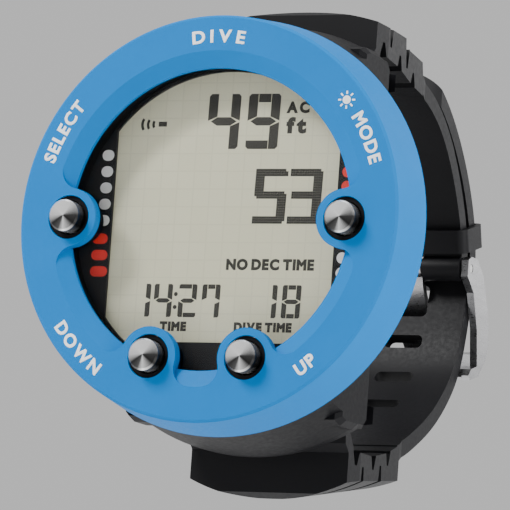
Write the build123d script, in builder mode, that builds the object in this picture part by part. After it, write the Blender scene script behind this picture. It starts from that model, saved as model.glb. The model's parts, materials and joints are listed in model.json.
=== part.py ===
from build123d import *
import math
import os

os.makedirs("parts", exist_ok=True)

# Wrist dive computer. The display faces -Y, twelve o'clock is +Z, three o'clock is +X.
# The origin is the centre of the flat case back that rests on the wrist. Millimetres.

# --- depths along Y, from the front to the back ---
FACE_Y = -32.5
LIP_Y = -31.1
LENS_FRONT_Y = -30.25
LENS_BACK_Y = -28.1
LEDGE_Y = -27.5
MASK_FRONT_Y = -24.7
LCD_FRONT_Y = -24.0
LCD_BACK_Y = -22.3
BOARD_FRONT_Y = -19.9
BOARD_BACK_Y = -18.3
BEZEL_BACK_Y = -21.0
FLANGE_FRONT_Y = -2.4
FLANGE_BACK_Y = -0.6

# --- bezel ring ---
BEZEL_FACE_R = 40.6
BEZEL_RIM_R = 42.0
RIM_CHAMFER = 0.5
SLOPE_OUTER_R = 33.5
OPENING_R = 30.2
COLLAR_OUTER_R = 36.4
COLLAR_INNER_R = 33.6
BOSS_R = 5.9
BOSS_BLEND_R = 3.6
FIT_GAP = 0.1

# --- buttons: name, centre on the face (x, z) ---
BUTTONS = {
    "select": (-30.0, 0.0),
    "mode": (29.4, 0.0),
    "down": (-10.4, -27.6),
    "up": (10.4, -27.6),
}
CAP_R = 3.2
CAP_RISE = 2.6
CAP_SUNK = 1.6
SLEEVE_R = 4.3
SLEEVE_BORE_R = 3.5
SLEEVE_FRONT_Y = -32.0
SLEEVE_BACK_Y = -25.2
STEM_R = 1.5
STEM_END_Y = -21.9
STEM_RUNNING_GAP = 0.05
TUBE_R = 3.4
TUBE_BACK_Y = -23.0
SEAL_WIRE_R = 0.45
SEAL_GROOVE_R = 2.45
SEAL_GROOVE_Y = -26.0
SEAL_GROOVE_WIDTH = 1.2
SPRING_R = 2.35
SPRING_WIRE_R = 0.2
CLIP_R = 2.4
CLIP_THICKNESS = 0.5
CLIP_GROOVE_R = 1.1
CLIP_Y = -22.85
DOME_R = 2.4
DOME_HEIGHT = 0.7

# --- case ---
CAVITY_R = 31.5
BACK_CAVITY_R = 29.5
BACK_CAVITY_Y = -16.0
FLANGE_R = 31.6
SHOULDER_INNER_R = 32.5
SHOULDER_HALF_WIDTH = 23.6
SHOULDER_R = 43.7
EAR_INNER_X = 17.7
EAR_OUTER_X = 23.6
CASE_SEAL_R = 28.8
CASE_SEAL_Y = -3.9
CASE_SEAL_WIRE_R = 0.62
CASE_SEAL_GROOVE = 1.5
SCREW_XZ = 18.6
SCREW_BOSS_R = 3.8
SCREW_HOLE_R = 1.15
SCREW_R = 1.1
SCREW_HEAD_R = 2.1

# --- display ---
WINDOW_HALF_WIDTH = 24.3
WINDOW_BOTTOM_Z = -23.7
WINDOW_TOP_R = 30.7
GLASS_MARGIN = 0.4

# --- battery bay ---
CELL_R = 12.25
CELL_THICKNESS = 5.0
WELL_R = 14.1
WELL_WALL = 1.5
WELL_FRONT_Y = -9.8
LID_R = 14.4
LID_THICKNESS = 2.2
RING_INNER_R = 14.7
RING_OUTER_R = 17.4
RING_THICKNESS = 1.5
RING_RECESS_R = 17.7
BAYONET_R = 19.0
TAB_R = 18.7
TAB_ANGLE = 30.0
NOTCH_ANGLE = 40.0

# --- strap ---
BAR_Y = 2.4
BAR_Z = 34.8
BAR_R = 0.9
BAR_HALF_LENGTH = 19.6
KNUCKLE_R = 2.9
BASE_HALF_WIDTH = 17.3
BAND_HALF_WIDTH = 12.9
BAND_THICKNESS = 3.35
BASE_FRONT_Y = 6.55
FLEX_END_Y = 42.0
CROWN_HALF_WIDTH = 19.0
SLIT_MOUTH = 3.4
SLIT_FLOOR = 1.1
INNER_SLIT_DEPTH = 2.7
HOLE_WIDTH = 8.6
HOLE_LENGTH = 3.0
HOLE_PITCH = 9.7
TONGUE_HOLE_LENGTH = 7.0
TAIL_END_Y = 44.2
TAIL_TIP_R = 13.2

# --- buckle ---
PIN_Y = 72.9
PIN_Z = 6.4
PIN_R = 0.9
PIN_GAP = 0.06
BARREL_R = 2.7
PLATE_INNER_X = 13.3
PLATE_OUTER_X = 14.9
TONGUE_HALF_WIDTH = 3.9
TONGUE_THICKNESS = 1.6
TONGUE_EYE_R = 2.1
KEEPER_WALL = 1.1
KEEPER_LENGTH = 5.0
KEEPER_GAP = 0.45


def across(y):
    """Sketch plane square to Y: its first axis is X, its second is Z, extrusions run to the front."""
    return Plane(origin=(0, y, 0), x_dir=(1, 0, 0), z_dir=(0, -1, 0))


def save(piece, label):
    """Names one sub-part and writes its STEP file."""
    piece.label = label
    export_step(piece, f"parts/{label}.step")


def normals(points):
    """Unit normals of a path given by (y, z) points, on its left when walking along it."""
    found = []
    for index in range(len(points)):
        before = points[max(index - 1, 0)]
        after = points[min(index + 1, len(points) - 1)]
        dy = after[0] - before[0]
        dz = after[1] - before[1]
        length = math.hypot(dy, dz)
        found.append((-dz / length, dy / length))
    return found


def shifted(points, distance):
    """The same path moved sideways by the distance."""
    sides = normals(points)
    return [(p[0] + n[0] * distance, p[1] + n[1] * distance) for p, n in zip(points, sides)]


BUTTON_CENTRES = list(BUTTONS.values())
SCREW_CENTRES = [(x, z) for x in (-SCREW_XZ, SCREW_XZ) for z in (-SCREW_XZ, SCREW_XZ)]

# ------------------------------------------------------------------ bezel
def on_circle(radius, angle, centre=(0.0, 0.0)):
    """Point on a circle at an angle in radians."""
    return (centre[0] + radius * math.cos(angle), centre[1] + radius * math.sin(angle))


def boss_arcs(centre):
    """Blend, boss and blend arcs round one button, each as three points, walking anticlockwise."""
    heading = math.atan2(centre[1], centre[0])
    distance = math.hypot(*centre)
    blend_path_r = SLOPE_OUTER_R - BOSS_BLEND_R
    reach = BOSS_R + BOSS_BLEND_R
    spread = math.acos((blend_path_r**2 + distance**2 - reach**2) / (2 * blend_path_r * distance))
    arcs = []
    for side in (-1, 1):
        blend_centre = on_circle(blend_path_r, heading + side * spread)
        on_ring = on_circle(SLOPE_OUTER_R, heading + side * spread)
        toward = math.atan2(blend_centre[1] - centre[1], blend_centre[0] - centre[0])
        on_boss = on_circle(BOSS_R, toward, centre)
        chord_y = on_ring[1] + on_boss[1] - 2 * blend_centre[1]
        chord_x = on_ring[0] + on_boss[0] - 2 * blend_centre[0]
        between = on_circle(BOSS_BLEND_R, math.atan2(chord_y, chord_x), blend_centre)
        arcs.append((on_ring, between, on_boss))
    before, after = arcs
    nearest = on_circle(BOSS_R, heading + math.pi, centre)
    return before, (before[2], nearest, after[2]), (after[2], after[1], after[0])


# the clear area inside the ring, walking anticlockwise from three o'clock
ROUND_ORDER = [BUTTONS[name] for name in ("mode", "select", "down", "up")]

with BuildSketch() as opening:
    with BuildLine() as rim:
        for index, centre in enumerate(ROUND_ORDER):
            arcs = boss_arcs(centre)
            for start, middle, end in arcs:
                ThreePointArc(start, middle, end)
            following = boss_arcs(ROUND_ORDER[(index + 1) % len(ROUND_ORDER)])
            leave = arcs[-1][-1]
            arrive = following[0][0]
            leave_angle = math.atan2(leave[1], leave[0])
            turn = (math.atan2(arrive[1], arrive[0]) - leave_angle) % (2 * math.pi)
            ThreePointArc(leave, on_circle(SLOPE_OUTER_R, leave_angle + turn / 2), arrive)
    make_face()

with BuildPart() as bezel:
    with BuildSketch():
        with BuildLine():
            Polyline(
                (OPENING_R, LENS_FRONT_Y),
                (OPENING_R, LIP_Y),
                (SLOPE_OUTER_R, FACE_Y),
                (BEZEL_FACE_R - RIM_CHAMFER, FACE_Y),
                (BEZEL_FACE_R, FACE_Y + RIM_CHAMFER),
                (BEZEL_RIM_R, BEZEL_BACK_Y),
                (COLLAR_OUTER_R + FIT_GAP, BEZEL_BACK_Y),
                (COLLAR_OUTER_R + FIT_GAP, LENS_FRONT_Y),
                close=True,
            )
        make_face()
    revolve(axis=Axis.Y)
    # four bosses round the buttons, blended into the ring
    with BuildSketch(across(LENS_FRONT_Y)):
        Circle(COLLAR_OUTER_R)
        add(opening.sketch_local, mode=Mode.SUBTRACT)
    extrude(amount=LENS_FRONT_Y - FACE_Y)
    with BuildSketch(across(LENS_BACK_Y)):
        with Locations(*BUTTON_CENTRES):
            Circle(SLEEVE_R + FIT_GAP)
    extrude(amount=LENS_BACK_Y - FACE_Y, mode=Mode.SUBTRACT)
save(bezel.part, "bezel")

# ------------------------------------------------------------------ lens
with BuildPart() as lens:
    with BuildSketch(across(LENS_BACK_Y)):
        Circle(COLLAR_INNER_R - 2 * FIT_GAP)
        with Locations(*BUTTON_CENTRES):
            Circle(SLEEVE_R + FIT_GAP, mode=Mode.SUBTRACT)
    extrude(amount=LENS_BACK_Y - LENS_FRONT_Y)
save(lens.part, "lens")

with BuildPart() as lens_bond:
    with BuildSketch(across(LEDGE_Y)):
        Circle(COLLAR_INNER_R - 2 * FIT_GAP)
        Circle(CAVITY_R + FIT_GAP, mode=Mode.SUBTRACT)
        with Locations(*BUTTON_CENTRES):
            Circle(SLEEVE_R + FIT_GAP, mode=Mode.SUBTRACT)
    extrude(amount=LEDGE_Y - LENS_BACK_Y)
save(lens_bond.part, "lens_bond")

# ------------------------------------------------------------------ case shell
SHOULDER_PROFILE = (
    (SHOULDER_INNER_R, BEZEL_BACK_Y + FIT_GAP),
    (41.4, BEZEL_BACK_Y + FIT_GAP),
    (SHOULDER_R, -4.0),
    (SHOULDER_R, -2.0),
    (42.6, FLANGE_BACK_Y),
    (SHOULDER_INNER_R, FLANGE_BACK_Y),
)
EAR_PROFILE = (
    (-14.0, 33.0),
    (-14.0, 37.2),
    (-11.0, 38.1),
    (-5.0, 38.1),
    (-1.8, 37.4),
    (4.0, 36.9),
    (5.6, 35.6),
    (5.6, 32.2),
    (2.6, 29.6),
    (-4.0, 29.6),
)
# plan view of what is cut off the outer rear corner of each ear
EAR_SLANT = ((EAR_OUTER_X + 1.4, -3.6), (EAR_OUTER_X - 4.6, 5.0), (EAR_OUTER_X + 1.4, 6.0))

with BuildPart() as shoulders:
    with BuildSketch():
        with BuildLine():
            Polyline(*SHOULDER_PROFILE, close=True)
        make_face()
    revolve(axis=Axis.Y)
    with BuildSketch():
        Rectangle(2 * SHOULDER_HALF_WIDTH, 4 * SHOULDER_R)
    extrude(amount=2 * SHOULDER_R, both=True, mode=Mode.INTERSECT)

with BuildPart() as ears:
    for side in (1, -1):
        with BuildSketch(Plane.YZ.offset(EAR_INNER_X)):
            with BuildLine():
                Polyline(*[(y, side * z) for y, z in EAR_PROFILE], close=True)
            make_face()
        extrude(amount=EAR_OUTER_X - EAR_INNER_X)
    outer_edges = ears.faces().sort_by(Axis.X)[-2:].edges()
    chamfer(outer_edges, 1.2)
    with BuildSketch():
        Polygon(*EAR_SLANT, align=None)
    extrude(amount=2 * SHOULDER_R, both=True, mode=Mode.SUBTRACT)
    mirror(about=Plane.YZ)

with BuildPart() as case_shell:
    with BuildSketch():
        with BuildLine():
            Polyline(
                (COLLAR_INNER_R, LENS_FRONT_Y + FIT_GAP),
                (COLLAR_OUTER_R, LENS_FRONT_Y + FIT_GAP),
                (COLLAR_OUTER_R, BEZEL_BACK_Y + FIT_GAP),
                (41.4, BEZEL_BACK_Y + FIT_GAP),
                (39.1, -15.0),
                (36.3, -9.0),
                (34.0, -4.4),
                (32.9, FLANGE_BACK_Y - 0.8),
                (FLANGE_R + 0.2, FLANGE_BACK_Y - 0.8),
                (FLANGE_R + 0.2, FLANGE_FRONT_Y),
                (BACK_CAVITY_R, FLANGE_FRONT_Y),
                (BACK_CAVITY_R, BACK_CAVITY_Y),
                (CAVITY_R, BACK_CAVITY_Y),
                (CAVITY_R, LEDGE_Y),
                (COLLAR_INNER_R, LEDGE_Y),
                close=True,
            )
        make_face()
    revolve(axis=Axis.Y)
    add(shoulders.part)
    add(ears.part)
    # room for the back cover's flange between the ears
    with BuildSketch(across(10.0)):
        Circle(FLANGE_R + 0.2)
    extrude(amount=10.0 - FLANGE_FRONT_Y, mode=Mode.SUBTRACT)
    # guide tubes of the four buttons, wider in front where the caps run
    with BuildSketch(across(TUBE_BACK_Y)):
        with Locations(*BUTTON_CENTRES):
            Circle(TUBE_R)
    extrude(amount=TUBE_BACK_Y - LENS_BACK_Y)
    with BuildSketch(across(SLEEVE_BACK_Y)):
        with Locations(*BUTTON_CENTRES):
            Circle(SLEEVE_R)
    extrude(amount=SLEEVE_BACK_Y - SLEEVE_FRONT_Y)
    with BuildSketch(across(LENS_BACK_Y)):
        with Locations(*BUTTON_CENTRES):
            Circle(SLEEVE_BORE_R)
    extrude(amount=LENS_BACK_Y - SLEEVE_FRONT_Y, mode=Mode.SUBTRACT)
    with BuildSketch(across(TUBE_BACK_Y)):
        with Locations(*BUTTON_CENTRES):
            Circle(STEM_R + STEM_RUNNING_GAP)
    extrude(amount=TUBE_BACK_Y - LENS_BACK_Y, mode=Mode.SUBTRACT)
    with BuildSketch(across(SEAL_GROOVE_Y + SEAL_GROOVE_WIDTH / 2)):
        with Locations(*BUTTON_CENTRES):
            Circle(SEAL_GROOVE_R)
    extrude(amount=SEAL_GROOVE_WIDTH, mode=Mode.SUBTRACT)
    # room behind the tubes for the clips
    with BuildSketch(across(BOARD_FRONT_Y)):
        with Locations(*BUTTON_CENTRES):
            Circle(CLIP_R + 0.35)
    extrude(amount=BOARD_FRONT_Y - TUBE_BACK_Y, mode=Mode.SUBTRACT)
    # screw bosses
    with BuildSketch(across(-5.5)):
        with Locations(*SCREW_CENTRES):
            Circle(SCREW_BOSS_R)
    extrude(amount=10.5)
    with BuildSketch(across(-5.5)):
        with Locations(*SCREW_CENTRES):
            Circle(SCREW_HOLE_R)
    extrude(amount=9.5, mode=Mode.SUBTRACT)
    # blind holes for the spring bars in the ears
    for side in (1, -1):
        with BuildSketch(Plane.YZ):
            with Locations((BAR_Y, side * BAR_Z)):
                Circle(BAR_R + STEM_RUNNING_GAP)
        extrude(amount=BAR_HALF_LENGTH + 0.1, both=True, mode=Mode.SUBTRACT)
save(case_shell.part, "case_shell")

# ------------------------------------------------------------------ case back
SENSOR_XZ = (0.0, -22.5)
SENSOR_R = 4.0
BEEPER_XZ = (0.0, 22.4)
BEEPER_R = 6.5
STUD_CENTRES = ((-9.0, -23.5), (9.0, -23.5))
STUD_R = 1.3
PLUG_FRONT_Y = -5.4

with BuildPart() as case_back:
    with BuildSketch(across(FLANGE_BACK_Y)):
        Circle(FLANGE_R)
    extrude(amount=FLANGE_BACK_Y - FLANGE_FRONT_Y)
    with BuildSketch(across(FLANGE_FRONT_Y)):
        Circle(BACK_CAVITY_R - FIT_GAP)
    extrude(amount=FLANGE_FRONT_Y - PLUG_FRONT_Y)
    # raised pad round the battery lid, level with the origin
    with BuildSketch(across(0.0)):
        Circle(BAYONET_R + 2.0)
    extrude(amount=-FLANGE_BACK_Y)
    # battery well
    with BuildSketch(across(PLUG_FRONT_Y)):
        Circle(WELL_R + WELL_WALL)
    extrude(amount=PLUG_FRONT_Y - WELL_FRONT_Y)
    with BuildSketch(across(0.0)):
        Circle(WELL_R)
    extrude(amount=-(WELL_FRONT_Y + WELL_WALL), mode=Mode.SUBTRACT)
    # recess of the lid and of the locking ring
    with BuildSketch(across(0.0)):
        Circle(RING_RECESS_R)
    extrude(amount=LID_THICKNESS + 0.2, mode=Mode.SUBTRACT)
    with BuildSketch(across(-0.7)):
        Circle(BAYONET_R)
    extrude(amount=1.0, mode=Mode.SUBTRACT)
    with BuildSketch(across(0.0)):
        with PolarLocations(0, 3, start_angle=60):
            with BuildLine():
                reach = BAYONET_R / math.cos(math.radians(NOTCH_ANGLE / 2))
                rise = reach * math.sin(math.radians(NOTCH_ANGLE / 2))
                Polyline((0, 0), (BAYONET_R, -rise), (BAYONET_R, rise), close=True)
            make_face()
        Circle(BAYONET_R, mode=Mode.INTERSECT)
    extrude(amount=1.0, mode=Mode.SUBTRACT)
    # groove of the main seal
    with BuildSketch():
        with Locations((CASE_SEAL_R - FIT_GAP / 2, CASE_SEAL_Y)):
            Rectangle(CASE_SEAL_GROOVE, CASE_SEAL_GROOVE)
    revolve(axis=Axis.Y, mode=Mode.SUBTRACT)
    # countersunk screw holes
    with BuildSketch(across(FLANGE_BACK_Y)):
        with Locations(*SCREW_CENTRES):
            Circle(SCREW_HEAD_R + FIT_GAP)
    extrude(amount=1.3, mode=Mode.SUBTRACT)
    with BuildSketch(across(FLANGE_BACK_Y)):
        with Locations(*SCREW_CENTRES):
            Circle(SCREW_HOLE_R)
    extrude(amount=6.0, mode=Mode.SUBTRACT)
    # pocket and water ports of the depth sensor
    with BuildSketch(across(-3.0)):
        with Locations(SENSOR_XZ):
            Circle(SENSOR_R + FIT_GAP)
    extrude(amount=4.0, mode=Mode.SUBTRACT)
    with BuildSketch(across(FLANGE_BACK_Y)):
        with Locations(SENSOR_XZ):
            with PolarLocations(1.8, 3):
                Circle(0.6)
    extrude(amount=4.0, mode=Mode.SUBTRACT)
    with BuildSketch(across(FLANGE_BACK_Y)):
        with Locations(*STUD_CENTRES):
            Circle(STUD_R + STEM_RUNNING_GAP)
    extrude(amount=6.0, mode=Mode.SUBTRACT)
save(case_back.part, "case_back")

with BuildPart() as case_seal:
    with BuildSketch():
        with Locations((CASE_SEAL_R, CASE_SEAL_Y)):
            Circle(CASE_SEAL_WIRE_R)
    revolve(axis=Axis.Y)
save(case_seal.part, "case_seal")

with BuildPart() as case_screws:
    with BuildSketch(across(FLANGE_BACK_Y)):
        with Locations(*SCREW_CENTRES):
            Circle(SCREW_HEAD_R)
    extrude(amount=1.2)
    with BuildSketch(across(FLANGE_BACK_Y - 1.2)):
        with Locations(*SCREW_CENTRES):
            Circle(SCREW_R)
    extrude(amount=10.0)
    # hexagon sockets
    with BuildSketch(across(FLANGE_BACK_Y)):
        with Locations(*SCREW_CENTRES):
            RegularPolygon(1.1, 6)
    extrude(amount=0.9, mode=Mode.SUBTRACT)
save(case_screws.part, "case_screws")

with BuildPart() as pressure_sensor:
    with BuildSketch(across(-3.1)):
        with Locations(SENSOR_XZ):
            Circle(SENSOR_R)
    extrude(amount=4.4)
    with BuildSketch(across(-7.5)):
        with Locations(SENSOR_XZ):
            Circle(SENSOR_R - 1.0)
    extrude(amount=10.6)
save(pressure_sensor.part, "pressure_sensor")

with BuildPart() as piezo_beeper:
    with BuildSketch(across(PLUG_FRONT_Y)):
        with Locations(BEEPER_XZ):
            Circle(BEEPER_R)
    extrude(amount=0.6)
    with BuildSketch(across(PLUG_FRONT_Y - 0.6)):
        with Locations(BEEPER_XZ):
            Circle(BEEPER_R - 1.8)
    extrude(amount=0.4)
save(piezo_beeper.part, "piezo_beeper")

with BuildPart() as wet_contacts:
    with BuildSketch(across(FLANGE_BACK_Y + 0.2)):
        with Locations(*STUD_CENTRES):
            Circle(STUD_R)
    extrude(amount=6.4)
save(wet_contacts.part, "wet_contacts")

# ------------------------------------------------------------------ battery
CELL_BACK_Y = -LID_THICKNESS - 0.3

with BuildPart() as battery:
    with BuildSketch(across(CELL_BACK_Y)):
        Circle(CELL_R)
    extrude(amount=1.6)
    with BuildSketch(across(CELL_BACK_Y - 1.6)):
        Circle(CELL_R - 0.15)
    extrude(amount=CELL_THICKNESS - 1.9)
    with BuildSketch(across(CELL_BACK_Y - CELL_THICKNESS + 0.3)):
        Circle(CELL_R - 1.2)
    extrude(amount=0.3)
    chamfer(battery.faces().sort_by(Axis.Y)[-1].edges(), 0.3)
save(battery.part, "battery")

with BuildPart() as battery_contacts:
    # flat centre leaf in front of the cell and a side leaf beside it
    with BuildSketch(across(WELL_FRONT_Y + WELL_WALL)):
        Rectangle(14.0, 3.0)
    extrude(amount=-0.3)
    with BuildSketch(across(WELL_FRONT_Y + WELL_WALL + 0.3)):
        Rectangle(4.0, 3.0)
    extrude(amount=-0.4)
    with BuildSketch(across(-3.5)):
        with Locations((0, (CELL_R + WELL_R) / 2)):
            Rectangle(4.0, 0.5)
    extrude(amount=-3.5 - (WELL_FRONT_Y + WELL_WALL))
save(battery_contacts.part, "battery_contacts")

with BuildPart() as battery_lid:
    with BuildSketch(across(-0.05)):
        Circle(LID_R)
    extrude(amount=LID_THICKNESS - 0.05)
    with BuildSketch(across(-LID_THICKNESS)):
        Circle(WELL_R - 0.3)
    extrude(amount=0.2)
    with BuildSketch():
        with Locations((LID_R, -1.7)):
            Rectangle(1.6, 0.9)
    revolve(axis=Axis.Y, mode=Mode.SUBTRACT)
    # shallow dished centre with a ring groove
    with BuildSketch(across(-0.05)):
        Circle(11.0)
        Circle(10.4, mode=Mode.SUBTRACT)
    extrude(amount=0.25, mode=Mode.SUBTRACT)
save(battery_lid.part, "battery_lid")

with BuildPart() as battery_lid_seal:
    with BuildSketch():
        with Locations((14.05, -1.7)):
            Circle(0.4)
    revolve(axis=Axis.Y)
save(battery_lid_seal.part, "battery_lid_seal")

with BuildPart() as lock_ring:
    with BuildSketch(across(-0.1)):
        Circle(RING_OUTER_R)
        Circle(RING_INNER_R, mode=Mode.SUBTRACT)
    extrude(amount=RING_THICKNESS)
    # three bayonet tabs
    with BuildSketch(across(-0.95)):
        with PolarLocations(0, 3):
            with BuildLine():
                tab_rise = TAB_R * math.tan(math.radians(TAB_ANGLE / 2))
                Polyline((0, 0), (TAB_R, -tab_rise), (TAB_R, tab_rise), close=True)
            make_face()
        Circle(TAB_R, mode=Mode.INTERSECT)
        Circle(RING_INNER_R, mode=Mode.SUBTRACT)
    extrude(amount=0.6)
    # six slots for the opening tool
    with BuildSketch(across(-0.1)):
        with PolarLocations((RING_INNER_R + RING_OUTER_R) / 2, 6, start_angle=30):
            Rectangle(1.2, 3.6)
    extrude(amount=0.7, mode=Mode.SUBTRACT)
save(lock_ring.part, "lock_ring")

# ------------------------------------------------------------------ display stack
with BuildPart() as display_mask:
    with BuildSketch(across(LCD_FRONT_Y)):
        Circle(CAVITY_R - FIT_GAP)
        with Locations(*BUTTON_CENTRES):
            Circle(TUBE_R + FIT_GAP, mode=Mode.SUBTRACT)
    extrude(amount=LCD_FRONT_Y - MASK_FRONT_Y)
    with BuildSketch(across(LCD_FRONT_Y)):
        Circle(WINDOW_TOP_R)
        with Locations((0, WINDOW_BOTTOM_Z)):
            Rectangle(
                2 * WINDOW_HALF_WIDTH,
                4 * WINDOW_TOP_R,
                align=(Align.CENTER, Align.MIN),
                mode=Mode.INTERSECT,
            )
    extrude(amount=LCD_FRONT_Y - MASK_FRONT_Y, mode=Mode.SUBTRACT)
save(display_mask.part, "display_mask")

with BuildPart() as lcd_panel:
    with BuildSketch(across(LCD_BACK_Y)):
        Circle(WINDOW_TOP_R + GLASS_MARGIN)
        with Locations((0, WINDOW_BOTTOM_Z - GLASS_MARGIN)):
            Rectangle(
                2 * (WINDOW_HALF_WIDTH + GLASS_MARGIN),
                4 * WINDOW_TOP_R,
                align=(Align.CENTER, Align.MIN),
                mode=Mode.INTERSECT,
            )
    extrude(amount=LCD_BACK_Y - LCD_FRONT_Y - 0.02)
save(lcd_panel.part, "lcd_panel")

with BuildPart() as backlight_panel:
    with BuildSketch(across(LCD_BACK_Y + 1.0)):
        with Locations((0, 2.0)):
            RectangleRounded(46.0, 46.0, 3.0)
        Circle(WINDOW_TOP_R - 1.0, mode=Mode.INTERSECT)
    extrude(amount=0.9)
save(backlight_panel.part, "backlight_panel")

with BuildPart() as zebra_connectors:
    with BuildSketch(across(BOARD_FRONT_Y - 0.05)):
        with Locations((0, 27.2)):
            Rectangle(22.0, 1.8)
        with Locations((0, -22.6)):
            Rectangle(36.0, 1.8)
    extrude(amount=BOARD_FRONT_Y - LCD_BACK_Y - 0.1)
save(zebra_connectors.part, "zebra_connectors")

with BuildPart() as circuit_board:
    with BuildSketch(across(BOARD_BACK_Y)):
        Circle(CAVITY_R - 1.0)
        with Locations((0, 16)):
            Rectangle(12.0, 2.0, mode=Mode.SUBTRACT)
    extrude(amount=BOARD_BACK_Y - BOARD_FRONT_Y)
save(circuit_board.part, "circuit_board")

CHIPS = (
    (0.0, 0.0, 12.0, 12.0),
    (-15.0, 6.0, 8.0, 6.0),
    (14.0, 8.0, 7.0, 9.0),
    (12.0, -12.0, 6.0, 4.0),
    (-13.0, -12.0, 5.0, 5.0),
)

with BuildPart() as processor_chips:
    with BuildSketch(across(BOARD_BACK_Y + 1.2)):
        for x, z, width, height in CHIPS:
            with Locations((x, z)):
                Rectangle(width, height)
    extrude(amount=1.15)
save(processor_chips.part, "processor_chips")

with BuildPart() as switch_domes:
    with BuildSketch(across(BOARD_FRONT_Y - 0.02)):
        with Locations(*BUTTON_CENTRES):
            Circle(DOME_R)
        Circle(CAVITY_R - 1.0, mode=Mode.INTERSECT)
    extrude(amount=DOME_HEIGHT, taper=40)
save(switch_domes.part, "switch_domes")

# ------------------------------------------------------------------ buttons
with BuildPart() as button_seals:
    for x, z in BUTTON_CENTRES:
        with BuildSketch(Plane(origin=(x, 0, z), x_dir=(1, 0, 0), z_dir=(0, 0, 1))):
            with Locations((STEM_R + STEM_RUNNING_GAP + SEAL_WIRE_R, SEAL_GROOVE_Y)):
                Circle(SEAL_WIRE_R)
        revolve(axis=Axis((x, 0, z), (0, 1, 0)))
save(button_seals.part, "button_seals")

CAP_FRONT_Y = FACE_Y - CAP_RISE
CAP_BACK_Y = FACE_Y + CAP_SUNK

for name, (x, z) in BUTTONS.items():
    with BuildPart() as plunger:
        with BuildSketch(across(CAP_BACK_Y)):
            with Locations((x, z)):
                Circle(CAP_R)
        extrude(amount=CAP_BACK_Y - CAP_FRONT_Y)
        chamfer(plunger.faces().sort_by(Axis.Y)[0].edges(), 0.35)
        with BuildSketch(across(STEM_END_Y)):
            with Locations((x, z)):
                Circle(STEM_R)
        extrude(amount=STEM_END_Y - CAP_BACK_Y)
        with BuildSketch(across(CLIP_Y + CLIP_THICKNESS)):
            with Locations((x, z)):
                Circle(STEM_R + 0.1)
                Circle(CLIP_GROOVE_R, mode=Mode.SUBTRACT)
        extrude(amount=CLIP_THICKNESS, mode=Mode.SUBTRACT)
    save(plunger.part, f"{name}_plunger")

    spring_base_y = LENS_BACK_Y - SPRING_WIRE_R - 0.02
    spring_height = spring_base_y - (CAP_BACK_Y + SPRING_WIRE_R + 0.02)
    with BuildPart() as spring:
        with BuildLine() as coil:
            Helix(
                pitch=spring_height / 3.5,
                height=spring_height,
                radius=SPRING_R,
                center=(x, spring_base_y, z),
                direction=(0, -1, 0),
            )
        with BuildSketch(Plane(origin=coil.line @ 0, z_dir=coil.line % 0)):
            Circle(SPRING_WIRE_R)
        sweep()
    save(spring.part, f"{name}_spring")

    with BuildPart() as clip:
        with BuildSketch(across(CLIP_Y + CLIP_THICKNESS - 0.02)):
            with Locations((x, z)):
                Circle(CLIP_R)
                Circle(CLIP_GROOVE_R + 0.02, mode=Mode.SUBTRACT)
            with Locations((x, z + CLIP_R)):
                Rectangle(1.6, 2 * CLIP_R, mode=Mode.SUBTRACT)
        extrude(amount=CLIP_THICKNESS - 0.04)
    save(clip.part, f"{name}_clip")

# ------------------------------------------------------------------ spring bars of the strap
for label, side in (("spring_bar_top", 1), ("spring_bar_bottom", -1)):
    with BuildPart() as spring_bar:
        with BuildSketch(Plane.YZ):
            with Locations((BAR_Y, side * BAR_Z)):
                Circle(BAR_R)
        extrude(amount=BAR_HALF_LENGTH - 2.0, both=True)
        with BuildSketch(Plane.YZ):
            with Locations((BAR_Y, side * BAR_Z)):
                Circle(BAR_R - 0.3)
        extrude(amount=BAR_HALF_LENGTH, both=True)
    save(spring_bar.part, label)

# ------------------------------------------------------------------ strap, buckle side (top)
UPPER_CENTRE = (
    (40.5, 40.6),
    (48.5, 38.6),
    (56.3, 34.6),
    (64.3, 27.0),
    (69.9, 18.7),
    (73.0, 11.5),
    (73.6, 7.4),
)
LOWER_CENTRE = (
    (40.5, -37.4),
    (46.0, -35.6),
    (52.7, -32.5),
    (60.7, -27.9),
    (67.5, -22.3),
    (72.2, -16.6),
    (75.2, -9.5),
    (77.0, -2.0),
    (78.2, 5.0),
    (78.0, 11.2),
    (74.9, 19.6),
    (68.4, 28.8),
    (58.4, 37.7),
    (51.5, 41.4),
    (44.6, 43.4),
)
# outer and inner faces of the thick base, from its front end to the end of the flex zone
UPPER_BASE_OUTER = (
    (BASE_FRONT_Y, 48.4),
    (9.0, 49.6),
    (26.6, 49.6),
    (29.6, 45.4),
    (40.2, 45.0),
    (41.2, 42.4),
    (FLEX_END_Y, 42.2),
)
UPPER_BASE_INNER = ((FLEX_END_Y, 38.2), (33.0, 38.8), (22.0, 40.4), (BASE_FRONT_Y, 40.8))
LOWER_BASE_OUTER = ((BASE_FRONT_Y, -49.8), (9.0, -50.8), (15.0, -50.4), (FLEX_END_Y, -45.0))
LOWER_BASE_INNER = ((FLEX_END_Y, -35.4), (33.0, -38.2), (22.0, -40.3), (BASE_FRONT_Y, -40.8))
# places of the slits along the strap; the outer ones with the height of their floors
OUTER_SLITS = ((15.0, 43.2), (28.1, 41.4))
INNER_SLITS_Y = (10.6, 22.5, 33.4)


def height_at(line, y):
    """Height of a two-or-more-point (y, z) line at a place between its end points."""
    ordered = sorted(line)
    for (y0, z0), (y1, z1) in zip(ordered, ordered[1:]):
        if y0 <= y <= y1:
            return z0 + (z1 - z0) * (y - y0) / (y1 - y0)
    return ordered[-1][1]


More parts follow.
